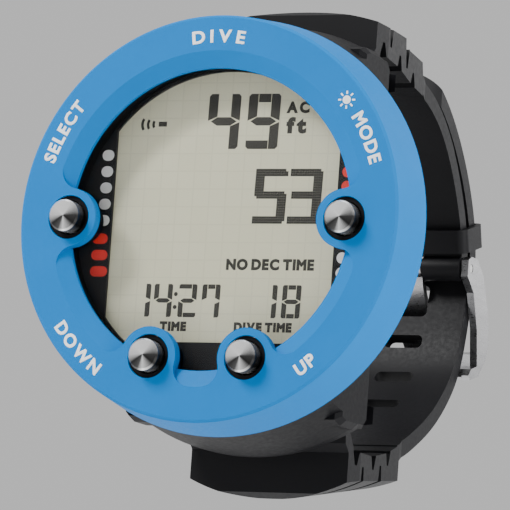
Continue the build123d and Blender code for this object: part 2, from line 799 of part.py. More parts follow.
def slit(y, mouth_z, floor_z):
    """Outline of one slit of the flex zone, wider at its mouth than at its floor."""
    beyond = math.copysign(3.0, mouth_z - floor_z)
    Polygon(
        (y - SLIT_MOUTH / 2, mouth_z + beyond),
        (y - SLIT_MOUTH / 2, mouth_z),
        (y - SLIT_FLOOR / 2, floor_z),
        (y + SLIT_FLOOR / 2, floor_z),
        (y + SLIT_MOUTH / 2, mouth_z),
        (y + SLIT_MOUTH / 2, mouth_z + beyond),
        align=None,
        mode=Mode.SUBTRACT,
    )


def strap_profile(outer, inner, centre, side):
    """Side view of one strap half: knuckle, thick base with its slits, and the thin band."""
    Polygon(*outer, *inner, align=None)
    Polygon(
        (BAR_Y, side * (BAR_Z - KNUCKLE_R)),
        (BASE_FRONT_Y + 3.0, side * 40.8),
        (BASE_FRONT_Y + 3.0, side * 44.0),
        (BAR_Y, side * (BAR_Z + KNUCKLE_R)),
        align=None,
    )
    with Locations((BAR_Y, side * BAR_Z)):
        Circle(KNUCKLE_R)
    for y, floor_z in OUTER_SLITS:
        slit(y, height_at(outer, y), side * floor_z)
    for y in INNER_SLITS_Y:
        slit(y, height_at(inner, y), height_at(inner, y) + side * INNER_SLIT_DEPTH)
    one_edge = shifted(centre, BAND_THICKNESS / 2)
    other_edge = shifted(centre, -BAND_THICKNESS / 2)
    with BuildLine() as band:
        edge = Spline(*one_edge)
        back = Spline(*other_edge)
        Line(edge @ 1, back @ 1)
        Line(edge @ 0, back @ 0)
    make_face(band.edges())
    with Locations((BAR_Y, side * BAR_Z)):
        Circle(BAR_R + STEM_RUNNING_GAP, mode=Mode.SUBTRACT)


def plan_outline():
    """Plan view of a strap half: wide base, tapering to the band."""
    Polygon(
        (-BASE_HALF_WIDTH, -2.0),
        (BASE_HALF_WIDTH, -2.0),
        (BASE_HALF_WIDTH, 13.0),
        (BAND_HALF_WIDTH + 0.8, FLEX_END_Y),
        (BAND_HALF_WIDTH, FLEX_END_Y + 3.0),
        (BAND_HALF_WIDTH, 95.0),
        (-BAND_HALF_WIDTH, 95.0),
        (-BAND_HALF_WIDTH, FLEX_END_Y + 3.0),
        (-BAND_HALF_WIDTH - 0.8, FLEX_END_Y),
        (-BASE_HALF_WIDTH, 13.0),
        align=None,
    )


# height of each crowned outer face at the front end, and its drop at the sides
UPPER_CROWN = (49.4, 3.0)
LOWER_CROWN = (52.0, 4.7)
LOWER_CROWN_SLOPE = 0.168


def crown_outline(side, top, drop):
    """End view of a strap half: everything under its crowned outer face."""
    edge_z = side * (top - drop)
    edge_x = CROWN_HALF_WIDTH
    with BuildLine() as crown:
        ThreePointArc((-edge_x, edge_z), (0, side * top), (edge_x, edge_z))
        Polyline(
            (edge_x, edge_z),
            (edge_x, -side * 120.0),
            (-edge_x, -side * 120.0),
            (-edge_x, edge_z),
        )
    make_face(crown.edges())


def crown_plane(side, slope):
    """Plane at the strap's front end, square to the sloping outer face."""
    return Plane(origin=(0, -2.0, 0), x_dir=(1, 0, 0), z_dir=(0, -1, side * slope))


def path_place(points, distance):
    """Point and unit tangent (y, z) at a distance along a path, signed from its first point."""
    walked = 0.0
    for (y0, z0), (y1, z1) in zip(points, points[1:]):
        step = math.hypot(y1 - y0, z1 - z0)
        if walked + step >= distance:
            share = (distance - walked) / step
            return (y0 + (y1 - y0) * share, z0 + (z1 - z0) * share), ((y1 - y0) / step, (z1 - z0) / step)
        walked += step
    return points[-1], (0.0, 1.0)


with BuildPart() as strap_buckle_side:
    with BuildSketch(Plane.YZ):
        strap_profile(UPPER_BASE_OUTER, UPPER_BASE_INNER, UPPER_CENTRE, 1)
        with Locations((PIN_Y, PIN_Z)):
            Circle(BARREL_R)
            Circle(PIN_R + STEM_RUNNING_GAP, mode=Mode.SUBTRACT)
    extrude(amount=BASE_HALF_WIDTH, both=True)
    with BuildSketch():
        plan_outline()
    extrude(amount=60.0, both=True, mode=Mode.INTERSECT)
    with BuildSketch(crown_plane(1, 0.0)):
        crown_outline(1, *UPPER_CROWN)
    extrude(amount=-110.0, mode=Mode.INTERSECT)
    # gap in the barrel for the tongue
    with BuildSketch(Plane.YZ):
        with Locations((PIN_Y, PIN_Z - 0.6)):
            Rectangle(2 * BARREL_R + 1.6, 2 * BARREL_R + 1.4)
    extrude(amount=TONGUE_HALF_WIDTH + 0.4, both=True, mode=Mode.SUBTRACT)
save(strap_buckle_side.part, "strap_buckle_side")

# ------------------------------------------------------------------ strap, hole side (bottom)
TONGUE_HOLE_AT = 55.4
HOLE_STEPS = (-3, -2, -1, 1, 2, 3, 4)

with BuildPart() as strap_hole_side:
    with BuildSketch(Plane.YZ):
        strap_profile(LOWER_BASE_OUTER, LOWER_BASE_INNER, LOWER_CENTRE, -1)
    extrude(amount=BASE_HALF_WIDTH, both=True)
    with BuildSketch():
        plan_outline()
    extrude(amount=60.0, both=True, mode=Mode.INTERSECT)
    with BuildSketch(crown_plane(-1, LOWER_CROWN_SLOPE)):
        crown_outline(-1, *LOWER_CROWN)
    extrude(amount=-110.0, mode=Mode.INTERSECT)
    holes = [(TONGUE_HOLE_AT, TONGUE_HOLE_LENGTH)]
    holes += [(TONGUE_HOLE_AT + step * HOLE_PITCH, HOLE_LENGTH) for step in HOLE_STEPS]
    for distance, length in holes:
        (y, z), (ty, tz) = path_place(LOWER_CENTRE, distance)
        with BuildSketch(Plane(origin=(0, y, z), x_dir=(1, 0, 0), z_dir=(0, tz, -ty))):
            RectangleRounded(HOLE_WIDTH, length, 1.2)
        extrude(amount=BAND_THICKNESS, both=True, mode=Mode.SUBTRACT)
    # rounded tip of the tail
    with BuildSketch(Plane.XY.offset(38.0)):
        with Locations((0, TAIL_END_Y)):
            Rectangle(2 * BASE_HALF_WIDTH, 2 * TAIL_TIP_R)
        with Locations((0, TAIL_END_Y + TAIL_TIP_R)):
            Circle(TAIL_TIP_R, mode=Mode.SUBTRACT)
    extrude(amount=10.0, mode=Mode.SUBTRACT)
save(strap_hole_side.part, "strap_hole_side")

# ------------------------------------------------------------------ buckle
PLATE_OUTLINE = (
    (71.0, 8.0),
    (72.6, 8.9),
    (76.2, 8.9),
    (80.0, 6.0),
    (83.6, -0.5),
    (85.9, -7.8),
    (84.4, -11.9),
    (80.6, -15.9),
    (75.9, -17.3),
    (75.0, -16.4),
    (76.4, -14.8),
    (79.6, -13.8),
    (78.2, -5.9),
    (75.0, 1.5),
    (71.0, 4.4),
)
FAR_BAR_OUTLINE = (
    (75.2, -16.7),
    (75.9, -17.3),
    (80.6, -15.9),
    (84.4, -11.9),
    (85.0, -10.0),
    (82.6, -10.8),
    (79.6, -13.8),
    (76.4, -14.8),
)
TONGUE_PATH = (
    (PIN_Y + 0.2, PIN_Z - 1.4),
    (73.9, 2.6),
    (76.0, -0.2),
    (79.4, -3.6),
    (82.2, -6.8),
    (84.4, -8.8),
)

with BuildPart() as buckle_frame:
    with BuildSketch(Plane.YZ.offset(PLATE_INNER_X)):
        with BuildLine():
            Polyline(*PLATE_OUTLINE, close=True)
        make_face()
        with Locations((PIN_Y, PIN_Z)):
            Circle(PIN_R + PIN_GAP, mode=Mode.SUBTRACT)
    extrude(amount=PLATE_OUTER_X - PLATE_INNER_X)
    mirror(about=Plane.YZ)
    with BuildSketch(Plane.YZ):
        with BuildLine():
            Polyline(*FAR_BAR_OUTLINE, close=True)
        make_face()
    extrude(amount=PLATE_INNER_X, both=True)
save(buckle_frame.part, "buckle_frame")

with BuildPart() as buckle_tongue:
    with BuildSketch(Plane.YZ):
        with BuildLine():
            edge = Spline(*shifted(TONGUE_PATH, TONGUE_THICKNESS / 2))
            back = Spline(*shifted(TONGUE_PATH, -TONGUE_THICKNESS / 2))
            Line(edge @ 1, back @ 1)
            Line(edge @ 0, back @ 0)
        make_face()
        with Locations((PIN_Y, PIN_Z)):
            Circle(TONGUE_EYE_R)
            Circle(PIN_R + PIN_GAP, mode=Mode.SUBTRACT)
    extrude(amount=TONGUE_HALF_WIDTH, both=True)
save(buckle_tongue.part, "buckle_tongue")

with BuildPart() as buckle_pin:
    with BuildSketch(Plane.YZ):
        with Locations((PIN_Y, PIN_Z)):
            Circle(PIN_R)
    extrude(amount=PLATE_OUTER_X - 0.1, both=True)
save(buckle_pin.part, "buckle_pin")

# ------------------------------------------------------------------ strap keeper
KEEPER_AT = (74.7, 13.2)
KEEPER_TANGENT = (-0.30, 0.954)
KEEPER_OPENING = 9.4

with BuildPart() as strap_keeper:
    with BuildSketch(
        Plane(
            origin=(0, KEEPER_AT[0], KEEPER_AT[1]),
            x_dir=(1, 0, 0),
            z_dir=(0, KEEPER_TANGENT[0], KEEPER_TANGENT[1]),
        )
    ):
        RectangleRounded(
            2 * (BAND_HALF_WIDTH + KEEPER_GAP + KEEPER_WALL),
            KEEPER_OPENING + 2 * KEEPER_WALL,
            2.2,
        )
        RectangleRounded(
            2 * (BAND_HALF_WIDTH + KEEPER_GAP),
            KEEPER_OPENING,
            0.8,
            mode=Mode.SUBTRACT,
        )
    extrude(amount=KEEPER_LENGTH / 2, both=True)
save(strap_keeper.part, "strap_keeper")
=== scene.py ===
import json
import math

import bmesh
import bpy
from mathutils import Matrix, Vector


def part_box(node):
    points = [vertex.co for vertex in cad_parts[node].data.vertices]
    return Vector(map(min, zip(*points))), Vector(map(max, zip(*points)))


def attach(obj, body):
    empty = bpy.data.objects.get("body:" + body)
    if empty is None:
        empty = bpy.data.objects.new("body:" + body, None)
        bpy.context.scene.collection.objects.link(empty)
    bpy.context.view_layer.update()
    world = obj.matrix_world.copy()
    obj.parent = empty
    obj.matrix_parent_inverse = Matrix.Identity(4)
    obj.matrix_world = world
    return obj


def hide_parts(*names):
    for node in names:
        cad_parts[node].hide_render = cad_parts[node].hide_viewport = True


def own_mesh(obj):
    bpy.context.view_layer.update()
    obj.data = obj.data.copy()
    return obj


MM = 0.001
# centres of the four buttons on the face, (x, z) in millimetres
BUTTONS = {
    "select": (-30.0, 0.0),
    "mode": (29.4, 0.0),
    "down": (-10.4, -27.6),
    "up": (10.4, -27.6),
}

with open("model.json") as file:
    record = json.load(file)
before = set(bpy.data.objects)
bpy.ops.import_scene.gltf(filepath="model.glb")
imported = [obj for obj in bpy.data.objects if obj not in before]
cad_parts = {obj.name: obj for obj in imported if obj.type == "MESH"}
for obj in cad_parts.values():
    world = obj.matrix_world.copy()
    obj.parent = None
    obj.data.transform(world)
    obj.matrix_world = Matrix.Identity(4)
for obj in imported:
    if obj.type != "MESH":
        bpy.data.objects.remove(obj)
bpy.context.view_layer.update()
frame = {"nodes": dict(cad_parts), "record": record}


# ------------------------------------------------------------------ materials
ROUGHNESS_SPREAD = 0.05
RELIEF_DEPTH = 0.02 * MM
WINDOW_IOR = 1.2


def new_material(name):
    """A node material with no nodes in it yet."""
    material = bpy.data.materials.new(name)
    material.use_nodes = True
    material.node_tree.nodes.clear()
    return material


def node(material, kind, **settings):
    """Adds one node. Keyword names are attributes of the node."""
    made = material.node_tree.nodes.new(kind)
    for key, value in settings.items():
        setattr(made, key, value)
    return made


def link(material, source, target):
    material.node_tree.links.new(source, target)


def ramp(material, source, stops):
    """A colour ramp fed by source. Stops are (place, grey value or colour)."""
    made = node(material, "ShaderNodeValToRGB")
    elements = made.color_ramp.elements
    while len(elements) > 1:
        elements.remove(elements[-1])
    for index, (place, colour) in enumerate(stops):
        element = elements[0] if index == 0 else elements.new(place)
        element.position = place
        rgb = colour if isinstance(colour, tuple) else (colour, colour, colour)
        element.color = (*rgb, 1.0)
    link(material, source, made.inputs["Fac"])
    return made.outputs["Color"]


def surface(
    name,
    colour,
    dark,
    roughness,
    metallic=0.0,
    grain=900.0,
    bump=0.15,
    stretch=(1, 1, 1),
    shine=0.5,
):
    """Plain surface whose colour, roughness and relief vary with fine noise in object space."""
    material = new_material(name)
    place = node(material, "ShaderNodeTexCoord")
    mapping = node(material, "ShaderNodeMapping")
    mapping.inputs["Scale"].default_value = stretch
    link(material, place.outputs["Object"], mapping.inputs["Vector"])
    fine = node(material, "ShaderNodeTexNoise")
    fine.inputs["Scale"].default_value = grain
    fine.inputs["Detail"].default_value = 4.0
    broad = node(material, "ShaderNodeTexNoise")
    broad.inputs["Scale"].default_value = grain / 14.0
    broad.inputs["Detail"].default_value = 3.0
    for texture in (fine, broad):
        link(material, mapping.outputs["Vector"], texture.inputs["Vector"])
    shader = node(material, "ShaderNodeBsdfPrincipled")
    shader.inputs["Metallic"].default_value = metallic
    shader.inputs["Specular IOR Level"].default_value = shine
    tint = ramp(material, broad.outputs["Fac"], ((0.3, dark), (0.7, colour)))
    link(material, tint, shader.inputs["Base Color"])
    smooth, rough = roughness - ROUGHNESS_SPREAD, roughness + ROUGHNESS_SPREAD
    polish = ramp(material, fine.outputs["Fac"], ((0.3, smooth), (0.7, rough)))
    link(material, polish, shader.inputs["Roughness"])
    relief = node(material, "ShaderNodeBump")
    relief.inputs["Strength"].default_value = bump
    relief.inputs["Distance"].default_value = RELIEF_DEPTH
    link(material, fine.outputs["Fac"], relief.inputs["Height"])
    link(material, relief.outputs["Normal"], shader.inputs["Normal"])
    output = node(material, "ShaderNodeOutputMaterial")
    link(material, shader.outputs["BSDF"], output.inputs["Surface"])
    return material


def window_glass(name):
    """Clear window: lets everything behind it show and mirrors a little by angle."""
    material = new_material(name)
    clear = node(material, "ShaderNodeBsdfTransparent")
    clear.inputs["Color"].default_value = (1.0, 1.0, 1.0, 1.0)
    gloss = node(material, "ShaderNodeBsdfGlossy")
    gloss.inputs["Roughness"].default_value = 0.03
    fresnel = node(material, "ShaderNodeFresnel")
    fresnel.inputs["IOR"].default_value = WINDOW_IOR
    mix = node(material, "ShaderNodeMixShader")
    link(material, fresnel.outputs["Fac"], mix.inputs["Fac"])
    link(material, clear.outputs["BSDF"], mix.inputs[1])
    link(material, gloss.outputs["BSDF"], mix.inputs[2])
    output = node(material, "ShaderNodeOutputMaterial")
    link(material, mix.outputs["Shader"], output.inputs["Surface"])
    return material


def lcd_glass(name):
    """Reflective display glass with its faint square electrode pattern."""
    material = new_material(name)
    place = node(material, "ShaderNodeTexCoord")
    bricks = node(material, "ShaderNodeTexBrick", offset=0.0)
    turn = node(material, "ShaderNodeMapping")
    turn.inputs["Rotation"].default_value = (math.radians(90), 0, 0)
    link(material, place.outputs["Object"], turn.inputs["Vector"])
    link(material, turn.outputs["Vector"], bricks.inputs["Vector"])
    bricks.inputs["Scale"].default_value = 140.0
    bricks.inputs["Mortar Size"].default_value = 0.02
    bricks.inputs["Brick Width"].default_value = 0.5
    bricks.inputs["Row Height"].default_value = 0.5
    bricks.inputs["Color1"].default_value = (0.72, 0.71, 0.52, 1)
    bricks.inputs["Color2"].default_value = (0.74, 0.73, 0.54, 1)
    bricks.inputs["Mortar"].default_value = (0.68, 0.67, 0.49, 1)
    cloud = node(material, "ShaderNodeTexNoise")
    cloud.inputs["Scale"].default_value = 60.0
    link(material, place.outputs["Object"], cloud.inputs["Vector"])
    shader = node(material, "ShaderNodeBsdfPrincipled")
    link(material, bricks.outputs["Color"], shader.inputs["Base Color"])
    polish = ramp(material, cloud.outputs["Fac"], ((0.3, 0.42), (0.7, 0.52)))
    link(material, polish, shader.inputs["Roughness"])
    output = node(material, "ShaderNodeOutputMaterial")
    link(material, shader.outputs["BSDF"], output.inputs["Surface"])
    return material


# painted reflection of a polished cap: its brightness by angle, from nine o'clock by way of twelve and three
CAP_PAINTED_REFLECTION = (
    (0.0, 0.75),
    (0.12, 0.95),
    (0.34, 0.85),
    (0.44, 0.30),
    (0.50, 0.05),
    (0.60, 0.02),
    (0.68, 0.45),
    (0.74, 0.85),
    (0.80, 0.10),
    (0.90, 0.03),
    (1.0, 0.75),
)


def cap_painted_reflection_metal(name, x, z):
    """Polished cap centred at (x, z) in mm, with a painted reflection: light and dark rays painted round its
    centre by angle.
    """
    material = new_material(name)
    place = node(material, "ShaderNodeTexCoord")
    mapping = node(material, "ShaderNodeMapping")
    mapping.inputs["Rotation"].default_value = (math.radians(90), 0, 0)
    mapping.inputs["Location"].default_value = (-x * MM, z * MM, 0)
    link(material, place.outputs["Object"], mapping.inputs["Vector"])
    reflection_angle = node(material, "ShaderNodeTexGradient", gradient_type="RADIAL")
    link(material, mapping.outputs["Vector"], reflection_angle.inputs["Vector"])
    shader = node(material, "ShaderNodeBsdfPrincipled")
    shader.inputs["Metallic"].default_value = 0.85
    shader.inputs["Roughness"].default_value = 0.22
    # the base colour is the painted reflection, grey by angle round the cap's centre
    link(material, ramp(material, reflection_angle.outputs["Fac"], CAP_PAINTED_REFLECTION), shader.inputs["Base Color"])
    fine = node(material, "ShaderNodeTexNoise")
    fine.inputs["Scale"].default_value = 1800.0
    link(material, mapping.outputs["Vector"], fine.inputs["Vector"])
    relief = node(material, "ShaderNodeBump")
    relief.inputs["Strength"].default_value = 0.08
    relief.inputs["Distance"].default_value = RELIEF_DEPTH
    link(material, fine.outputs["Fac"], relief.inputs["Height"])
    link(material, relief.outputs["Normal"], shader.inputs["Normal"])
    output = node(material, "ShaderNodeOutputMaterial")
    link(material, shader.outputs["BSDF"], output.inputs["Surface"])
    return material


BLUE = (0.0, 0.15, 0.44)
MATERIALS = {
    "bezel_blue": surface(
        "bezel_blue", BLUE, (0.0, 0.144, 0.425), 0.45, grain=1400, bump=0.1, shine=0.03
    ),
    "case_black": surface(
        "case_black", (0.004, 0.004, 0.005), (0.003, 0.003, 0.004), 0.5, grain=1100, bump=0.1, shine=0.08
    ),
    "lens_glass": window_glass("lens_glass"),
    "bond_black": surface("bond_black", (0.01, 0.01, 0.01), (0.007, 0.007, 0.007), 0.6),
    "mask_black": surface(
        "mask_black", (0.012, 0.012, 0.013), (0.010, 0.010, 0.011), 0.4, grain=700, bump=0.1, shine=0.2
    ),
    "lcd": lcd_glass("lcd"),
    "white_plastic": surface("white_plastic", (0.7, 0.7, 0.7), (0.62, 0.62, 0.62), 0.4),
    "zebra_rubber": surface(
        "zebra_rubber", (0.4, 0.12, 0.2), (0.05, 0.05, 0.05), 0.6, stretch=(6, 1, 0.2)
    ),
    "board_green": surface("board_green", (0.02, 0.16, 0.06), (0.01, 0.09, 0.035), 0.35, grain=400),
    "chip_black": surface("chip_black", (0.02, 0.02, 0.02), (0.013, 0.013, 0.013), 0.5),
    "steel": surface(
        "steel", (0.6, 0.6, 0.59), (0.5, 0.5, 0.5), 0.28, metallic=1.0, stretch=(1, 12, 1), bump=0.1
    ),
    "brass": surface("brass", (0.72, 0.5, 0.2), (0.6, 0.4, 0.15), 0.3, metallic=1.0),
    "cell_steel": surface("cell_steel", (0.68, 0.68, 0.67), (0.58, 0.58, 0.58), 0.25, metallic=1.0),
    "lid_black": surface("lid_black", (0.02, 0.02, 0.022), (0.014, 0.014, 0.016), 0.45, bump=0.3),
    "seal_rubber": surface("seal_rubber", (0.012, 0.012, 0.012), (0.008, 0.008, 0.008), 0.55),
    "ring_grey": surface("ring_grey", (0.09, 0.09, 0.095), (0.07, 0.07, 0.075), 0.5, bump=0.3),
    "strap_rubber": surface(
        "strap_rubber", (0.006, 0.006, 0.007), (0.005, 0.005, 0.006), 0.5, grain=1300, bump=0.1, shine=0.12
    ),
    "buckle_silver": surface(
        "buckle_silver", (0.40, 0.40, 0.41), (0.33, 0.33, 0.34), 0.3,
        metallic=1.0, stretch=(1, 1, 8), bump=0.15,
    ),
    "button_chrome": surface(
        "button_chrome", (0.5, 0.51, 0.53), (0.4, 0.41, 0.43), 0.16,
        metallic=1.0, grain=600, stretch=(1, 1, 9), bump=0.15,
    ),
}
for row in frame["record"]["subparts"]:
    mesh = frame["nodes"][row["node"]].data
    mesh.materials.clear()
    mesh.materials.append(MATERIALS[row["material_slot"]])
# the plunger caps get the metal with the painted reflection
for name, (x, z) in BUTTONS.items():
    frame["nodes"][f"{name}_plunger"].data.materials[0] = cap_painted_reflection_metal(f"{name}_cap", x, z)


def ink(name, colour):
    """Printed paint."""
    darker = tuple(0.85 * channel for channel in colour)
    return surface(name, colour, darker, 0.5, grain=2500, bump=0.05)


WHITE_INK = ink("white_ink", (0.86, 0.87, 0.87))
RED_INK = ink("red_ink", (0.95, 0.03, 0.02))
DOT_WHITE = ink("dot_white", (0.97, 0.97, 0.96))
SEGMENT_INK = ink("segment_ink", (0.022, 0.021, 0.014))


# ------------------------------------------------------------------ return springs of the buttons
for name in BUTTONS:
    plain = frame["nodes"][f"{name}_spring"]
    coil = bpy.data.objects.new(f"{name}_coil", plain.data.copy())
    bpy.context.scene.collection.objects.link(coil)
    coil.matrix_world = plain.matrix_world.copy()
    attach(coil, "computer")
    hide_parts(f"{name}_spring")
    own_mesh(coil)


# ------------------------------------------------------------------ flat printed shapes
def front_piece(name, outlines, y, thickness, material, body="computer"):
    """One mesh of flat outlines, each a list of (x, z) in millimetres, facing -Y."""
    shape = bmesh.new()
    for outline in outlines:
        back = [shape.verts.new((x * MM, y * MM, z * MM)) for x, z in outline]
        front = [shape.verts.new((x * MM, (y - thickness) * MM, z * MM)) for x, z in outline]
        shape.faces.new(front)
        shape.faces.new(list(reversed(back)))
        for index in range(len(outline)):
            after = (index + 1) % len(outline)
            shape.faces.new((back[index], back[after], front[after], front[index]))
    bmesh.ops.recalc_face_normals(shape, faces=shape.faces)
    mesh = bpy.data.meshes.new(name)
    shape.to_mesh(mesh)
    shape.free()
    mesh.materials.append(material)
    piece = bpy.data.objects.new(name, mesh)
    bpy.context.scene.collection.objects.link(piece)
    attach(piece, body)


def on_circle(x, z, radius, angle):
    return x + radius * math.cos(angle), z + radius * math.sin(angle)


def disc(x, z, radius, sides=28):
    return [on_circle(x, z, radius, 2 * math.pi * k / sides) for k in range(sides)]


def pill(x0, x1, z, height, sides=8):
    """Outline of a bar with round ends."""
    r = height / 2
    right = [on_circle(x1 - r, z, r, math.pi * (k / sides - 0.5)) for k in range(sides + 1)]
    left = [on_circle(x0 + r, z, r, math.pi * (k / sides + 0.5)) for k in range(sides + 1)]
    return right + left


# height of a capital and width of a space, as shares of the letter size
CAPITAL_SHARE = 0.72
SPACE_SHARE = 0.2


def letters(text, height, bold):
    """The letters of a word as solid meshes lying in X-Y, with each one's left edge, width and half depth."""
    found = []
    for letter in text:
        curve = bpy.data.curves.new("letter", "FONT")
        curve.body = letter
        curve.size = height / CAPITAL_SHARE
        curve.extrude = 0.02
        curve.bevel_depth = bold
        curve.bevel_resolution = 0
        curve.resolution_u = 4
        holder = bpy.data.objects.new("letter", curve)
        bpy.context.scene.collection.objects.link(holder)
        bpy.context.view_layer.update()
        mesh = bpy.data.meshes.new_from_object(holder)
        xs = [v.co.x for v in mesh.vertices] or [0.0, 0.3 * height]
        found.append((mesh, min(xs), max(xs) - min(xs), curve.extrude + bold))
        bpy.data.objects.remove(holder)
    return found


def word(name, text, y, height, material, place, spacing, bold, stretch=1.0, raised=0.05):
    """A word of separate letters. place(advance, total) gives (x, z, angle) of each letter's middle."""
    parts = letters(text, height, bold)
    gap = spacing * height
    space = SPACE_SHARE * height
    widths = [part[2] * stretch if letter != " " else space for letter, part in zip(text, parts)]
    total = sum(widths) + gap * (len(parts) - 1)
    shape = bmesh.new()
    walked = 0.0
    for letter, (mesh, left, width, depth), wide in zip(text, parts, widths):
        if letter != " ":
            x, z, angle = place(walked + wide / 2, total)
            turn = Matrix.Rotation(angle, 4, "Y")
            centre = left + width / 2
            before = len(shape.verts)
            shape.from_mesh(mesh)
            shape.verts.ensure_lookup_table()
            for vertex in shape.verts[before:]:
                lift = raised * (vertex.co.z + depth) / (2 * depth)
                flat = turn @ Vector(((vertex.co.x - centre) * stretch, -lift, vertex.co.y - height / 2))
                vertex.co = Vector((flat.x + x, flat.y + y, flat.z + z)) * MM
        walked += wide + gap
    bmesh.ops.recalc_face_normals(shape, faces=shape.faces)
    mesh = bpy.data.meshes.new(name)
    shape.to_mesh(mesh)
    shape.free()
    mesh.materials.append(material)
    piece = bpy.data.objects.new(name, mesh)
    bpy.context.scene.collection.objects.link(piece)
    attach(piece, "computer")


def along_line(x0, z):
    """Letters in a row that starts at x0."""
    return lambda advance, total: (x0 + advance, z, 0.0)


def along_ring(middle_degrees, radius, inward=False):
    """Letters on a circle round the dial's centre, read from outside (or inside) the ring."""

    def place(advance, total):
        way = 1 if inward else -1
        angle = math.radians(middle_degrees) + way * (advance - total / 2) / radius
        tilt = math.pi / 2 - angle if not inward else -math.pi / 2 - angle
        return radius * math.cos(angle), radius * math.sin(angle), tilt

    return place


# how far printing stands out, in millimetres, on the ring, the surround and the display
RING_PRINT = 0.05
MASK_PRINT = 0.04
LCD_PRINT = 0.03

face_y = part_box("bezel")[0].y / MM
LABEL_RADIUS = 37.0
LABEL_HEIGHT = 2.55
# piece, word, degrees anticlockwise from three o'clock, and whether it reads from inside the ring
LABELS = (
    ("label_select", "SELECT", 152.0, False),
    ("label_mode", "MODE", 25.6, False),
    ("label_down", "DOWN", 225.5, True),
    ("label_up", "UP", 309.0, True),
)
for name, text, degrees, inward in LABELS:
    place = along_ring(degrees, LABEL_RADIUS, inward)
    word(name, text, face_y, LABEL_HEIGHT, WHITE_INK, place, bold=0.14, spacing=0.16)
top_place = along_ring(90.0, 36.4)
word("label_top", "DIVE", face_y, 2.5, WHITE_INK, top_place, bold=0.12, spacing=0.45, stretch=1.15)


def sun_outlines(x, z, radius):
    """A round sun with eight short rays."""
    outlines = [disc(x, z, radius)]
    for k in range(8):
        a = math.pi * k / 4
        across, along = (-math.sin(a), math.cos(a)), (math.cos(a), math.sin(a))
        inner, outer, half = radius * 1.35, radius * 2.1, radius * 0.2
        outlines.append(
            [
                (x + along[0] * d + across[0] * s, z + along[1] * d + across[1] * s)
                for d, s in ((inner, -half), (outer, -half), (outer, half), (inner, half))
            ]
        )
    return outlines


front_piece("label_sun", sun_outlines(28.3, 23.4, 0.85), face_y, RING_PRINT, WHITE_INK)

# ------------------------------------------------------------------ dots and bars on the display surround
mask_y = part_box("display_mask")[0].y / MM
LEFT_X, RIGHT_X = -25.95, 26.2
DOT_PITCH = 3.3
SPOT_RADIUS = 1.1
white_dots = [pill(LEFT_X - 1.3, LEFT_X + 1.3, 13.8 - DOT_PITCH * k, 2.2) for k in range(5)]
red_bars = [pill(LEFT_X - 2.2, LEFT_X + 1.2 + 0.2 * k, -3.1 - DOT_PITCH * k, 2.1) for k in range(3)]
front_piece("scale_dots_left", white_dots, mask_y, MASK_PRINT, DOT_WHITE)
front_piece("scale_bars_left", red_bars, mask_y, MASK_PRINT, RED_INK)
red_spots = [disc(RIGHT_X, z, SPOT_RADIUS) for z in (10.5, 7.6)]
white_spots = [disc(RIGHT_X, z, SPOT_RADIUS) for z in (-6.6, -9.6)]
front_piece("scale_bars_right", red_spots, mask_y, MASK_PRINT, RED_INK)
front_piece("scale_dots_right", white_spots, mask_y, MASK_PRINT, DOT_WHITE)

# ------------------------------------------------------------------ display contents
lcd_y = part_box("lcd_panel")[0].y / MM
SLANT = -0.015
GAP = 0.14
# which of the seven segments each digit shows, a to g being
# top, upper right, lower right, bottom, lower left, upper left and middle
DIGITS = {
    "0": "abcdef",
    "1": "bc",
    "2": "abged",
    "3": "abgcd",
    "4": "fgbc",
    "5": "afgcd",
    "6": "afgedc",
    "7": "abcf",
    "8": "abcdefg",
    "9": "abcdfg",
}


def digit_segments(digit, x, z, width, height, stroke):
    """Outlines of the lit segments of one digit whose top left corner is (x, z)."""
    lit = DIGITS[digit]
    mid, low = z - height / 2, z - height
    g, bar, half, cut = GAP, 0.85 * stroke, 0.42 * stroke, 0.25 * stroke
    inner_left, inner_right = x + stroke, x + width - stroke
    left_cut, right_cut = x + cut, x + width - cut
    edge, upper, lower = x + width, mid + half + g, mid - half - g

    def flat_bar(outer, way, left_upright, right_upright):
        """Top or bottom bar: it stops at an upright beside it, or runs out to the digit's edge."""
        inner = outer + way * bar
        cut_z = outer + way * cut
        left = [(inner_left + g, inner), (inner_left + g, outer)]
        right = [(inner_right - g, outer), (inner_right - g, inner)]
        if not left_upright:
            left = [(x, inner), (x, cut_z), (left_cut, outer)]
        if not right_upright:
            right = [(right_cut, outer), (x + width, cut_z), (x + width, inner)]
        return left + right

    shapes = {
        "a": flat_bar(z, -1, "f" in lit, "b" in lit),
        "d": flat_bar(low, 1, "e" in lit, "c" in lit),
        "g": [
            (x + g + half * 0.6, mid),
            (inner_left, mid + half),
            (inner_right, mid + half),
            (x + width - g - half * 0.6, mid),
            (inner_right, mid - half),
            (inner_left, mid - half),
        ],
        "b": [(inner_right, z), (right_cut, z), (edge, z - cut), (edge, mid + g), (inner_right, upper)],
        "c": [(inner_right, lower), (edge, mid - g), (edge, low + cut), (right_cut, low), (inner_right, low)],
        "e": [(x, low + cut), (x, mid - g), (inner_left, lower), (inner_left, low), (left_cut, low)],
        "f": [(x, mid + g), (x, z - cut), (left_cut, z), (inner_left, z), (inner_left, upper)],
    }
    return [[(px + SLANT * (z - pz), pz) for px, pz in shapes[segment]] for segment in lit]


# share of its cell that a dot fills, and how far each row of dots leans, in cells
DOT_FILL = 0.96
ROW_LEAN = 0.02


